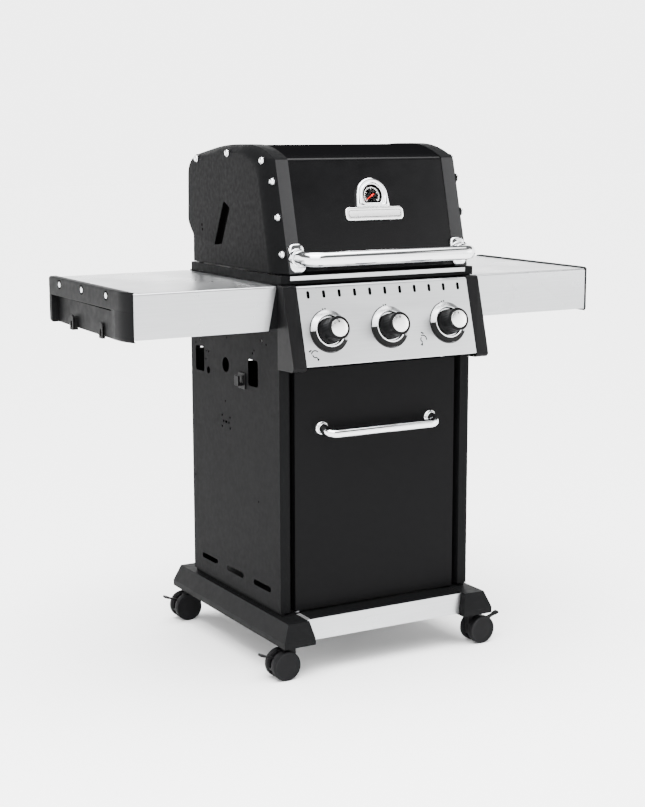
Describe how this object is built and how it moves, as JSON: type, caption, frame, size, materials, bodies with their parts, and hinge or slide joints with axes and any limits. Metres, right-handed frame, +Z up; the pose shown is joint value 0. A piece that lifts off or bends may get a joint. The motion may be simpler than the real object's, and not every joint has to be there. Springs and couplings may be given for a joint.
{
  "type": "gas barbecue grill",
  "caption": "Gas barbecue grill on a closed cabinet cart, with a hinged lid, fixed steel side shelves, turning burner knobs, a hinged door and swivelling twin-wheel casters.",
  "frame": {"origin": "on the floor, at the middle of the footprint of the whole grill", "axes": "+X to the right of someone who stands at the controls and looks at the grill, +Y away from that person, towards the back, +Z up"},
  "size_m": [1.27, 0.6494, 1.2255],
  "materials": {
    "textured_black": "fine textured charcoal-black powder coat on sheet steel",
    "satin_black": "smooth satin black powder coat",
    "enamel_black": "glossy black vitreous enamel",
    "cast_black": "satin black high-temperature paint on cast aluminium",
    "stainless": "fine linear brushed stainless steel",
    "chrome": "bright polished chrome plate",
    "black_plastic": "moulded charcoal-black plastic with a fine grain",
    "knob_black": "satin black heat-resistant moulding",
    "caster_black": "semi-gloss black nylon",
    "caster_tread": "dark grey polyurethane tread on black nylon",
    "cast_iron": "matt enamelled cast iron",
    "burner_steel": "dull stainless steel, lightly heat-tinted",
    "plated_steel": "satin zinc or aluminium finish",
    "brass": "machined brass",
    "ceramic": "glazed white ceramic and plastic",
    "dial_black": "matt black printed dial with white divisions",
    "dial_glass": "clear flat glass",
    "needle_red": "matt red pointer"
  },
  "bodies": {
    "cart": {"base_rail_left": "black_plastic", "base_rail_right": "black_plastic", "base_trim": "stainless", "base_shelf": "textured_black", "side_panel_left": "textured_black", "side_panel_right": "textured_black", "back_panel": "textured_black", "front_rail": "textured_black", "firebox": "cast_black", "firebox_trim": "stainless", "control_panel": "stainless", "control_caps": "black_plastic", "knob_bezels": "chrome", "gas_manifold": "plated_steel", "gas_valves": "brass", "burners": "burner_steel", "igniter": "ceramic", "heat_tents": "burner_steel", "cooking_grids": "cast_iron", "warming_rack": "chrome", "shelf_left": "stainless", "shelf_right": "stainless", "shelf_cap_left": "black_plastic", "shelf_cap_right": "black_plastic", "shelf_brackets": "textured_black", "shelf_bolts": "chrome", "hose_hook": "black_plastic", "hinge_pins": "plated_steel"},
    "lid": {"lid_hood": "enamel_black", "lid_end_caps": "cast_black", "lid_handle": "chrome", "lid_handle_mounts": "chrome", "lid_cap_nuts": "chrome", "thermometer_housing": "chrome", "thermometer_dial": "dial_black", "thermometer_lens": "dial_glass", "badge_plate": "chrome"},
    "needle": {"thermometer_needle": "needle_red"},
    "door": {"door_panel": "satin_black", "door_handle": "chrome", "door_handle_mounts": "chrome"},
    "tray": {"grease_tray": "plated_steel"},
    "spindle_left": {"spindle_left": "brass"},
    "knob_left": {"knob_left": "knob_black"},
    "spindle_middle": {"spindle_middle": "brass"},
    "knob_middle": {"knob_middle": "knob_black"},
    "spindle_right": {"spindle_right": "brass"},
    "knob_right": {"knob_right": "knob_black"},
    "caster_fl": {"caster_hood_fl": "caster_black"},
    "wheels_fl": {"caster_wheels_fl": "caster_tread"},
    "pedal_fl": {"brake_pedal_fl": "caster_black"},
    "caster_fr": {"caster_hood_fr": "caster_black"},
    "wheels_fr": {"caster_wheels_fr": "caster_tread"},
    "pedal_fr": {"brake_pedal_fr": "caster_black"},
    "caster_bl": {"caster_hood_bl": "caster_black"},
    "wheels_bl": {"caster_wheels_bl": "caster_tread"},
    "pedal_bl": {"brake_pedal_bl": "caster_black"},
    "caster_br": {"caster_hood_br": "caster_black"},
    "wheels_br": {"caster_wheels_br": "caster_tread"},
    "pedal_br": {"brake_pedal_br": "caster_black"}
  },
  "joints": [
    {"name": "lid_hinge", "type": "hinge", "parent": "cart", "child": "lid", "pos_m": [0, 0.20124, 1.02], "axis": [-1, 0, 0], "range_deg": [0, 75]},
    {"name": "door_hinge", "type": "hinge", "parent": "cart", "child": "door", "pos_m": [-0.211, -0.20376, 0.4], "axis": [0, 0, -1], "range_deg": [0, 110]},
    {"name": "needle_turn", "type": "hinge", "parent": "lid", "child": "needle", "pos_m": [0, -0.18514, 1.10657], "axis": [0, 0.9681, -0.2507], "range_deg": [0, 240], "stiffness_Nm_per_rad": 0.003},
    {"name": "tray_slide", "type": "slide", "parent": "cart", "child": "tray", "axis": [0, 1, 0], "range_m": [0, 0.33]},
    {"name": "knob_turn_left", "type": "hinge", "parent": "cart", "child": "spindle_left", "pos_m": [-0.1616, -0.27094, 0.80962], "axis": [0, -0.9637, 0.2669], "range_deg": [0, 180]},
    {"name": "knob_push_left", "type": "slide", "parent": "spindle_left", "child": "knob_left", "axis": [0, 0.9637, -0.2669], "range_m": [0, 0.003], "stiffness_N_per_m": 2000},
    {"name": "knob_turn_middle", "type": "hinge", "parent": "cart", "child": "spindle_middle", "pos_m": [0, -0.27094, 0.80962], "axis": [0, -0.9637, 0.2669], "range_deg": [0, 180]},
    {"name": "knob_push_middle", "type": "slide", "parent": "spindle_middle", "child": "knob_middle", "axis": [0, 0.9637, -0.2669], "range_m": [0, 0.003], "stiffness_N_per_m": 2000},
    {"name": "knob_turn_right", "type": "hinge", "parent": "cart", "child": "spindle_right", "pos_m": [0.1616, -0.27094, 0.80962], "axis": [0, -0.9637, 0.2669], "range_deg": [0, 180]},
    {"name": "knob_push_right", "type": "slide", "parent": "spindle_right", "child": "knob_right", "axis": [0, 0.9637, -0.2669], "range_m": [0, 0.003], "stiffness_N_per_m": 2000},
    {"name": "caster_swivel_fl", "type": "hinge", "parent": "cart", "child": "caster_fl", "pos_m": [-0.253, -0.24876, 0.06], "axis": [0, 0, 1], "continuous": true},
    {"name": "wheel_roll_fl", "type": "hinge", "parent": "caster_fl", "child": "wheels_fl", "pos_m": [-0.275, -0.24876, 0.035], "axis": [0, 1, 0], "continuous": true},
    {"name": "brake_press_fl", "type": "hinge", "parent": "caster_fl", "child": "pedal_fl", "pos_m": [-0.293, -0.24876, 0.05], "axis": [0, -1, 0], "range_deg": [0, 15]},
    {"name": "caster_swivel_fr", "type": "hinge", "parent": "cart", "child": "caster_fr", "pos_m": [0.253, -0.24876, 0.06], "axis": [0, 0, 1], "continuous": true},
    {"name": "wheel_roll_fr", "type": "hinge", "parent": "caster_fr", "child": "wheels_fr", "pos_m": [0.275, -0.24876, 0.035], "axis": [0, 1, 0], "continuous": true},
    {"name": "brake_press_fr", "type": "hinge", "parent": "caster_fr", "child": "pedal_fr", "pos_m": [0.293, -0.24876, 0.05], "axis": [0, 1, 0], "range_deg": [0, 15]},
    {"name": "caster_swivel_bl", "type": "hinge", "parent": "cart", "child": "caster_bl", "pos_m": [-0.253, 0.28524, 0.06], "axis": [0, 0, 1], "continuous": true},
    {"name": "wheel_roll_bl", "type": "hinge", "parent": "caster_bl", "child": "wheels_bl", "pos_m": [-0.275, 0.28524, 0.035], "axis": [0, 1, 0], "continuous": true},
    {"name": "brake_press_bl", "type": "hinge", "parent": "caster_bl", "child": "pedal_bl", "pos_m": [-0.293, 0.28524, 0.05], "axis": [0, -1, 0], "range_deg": [0, 15]},
    {"name": "caster_swivel_br", "type": "hinge", "parent": "cart", "child": "caster_br", "pos_m": [0.253, 0.28524, 0.06], "axis": [0, 0, 1], "continuous": true},
    {"name": "wheel_roll_br", "type": "hinge", "parent": "caster_br", "child": "wheels_br", "pos_m": [0.275, 0.28524, 0.035], "axis": [0, 1, 0], "continuous": true},
    {"name": "brake_press_br", "type": "hinge", "parent": "caster_br", "child": "pedal_br", "pos_m": [0.293, 0.28524, 0.05], "axis": [0, 1, 0], "range_deg": [0, 15]}
  ]
}
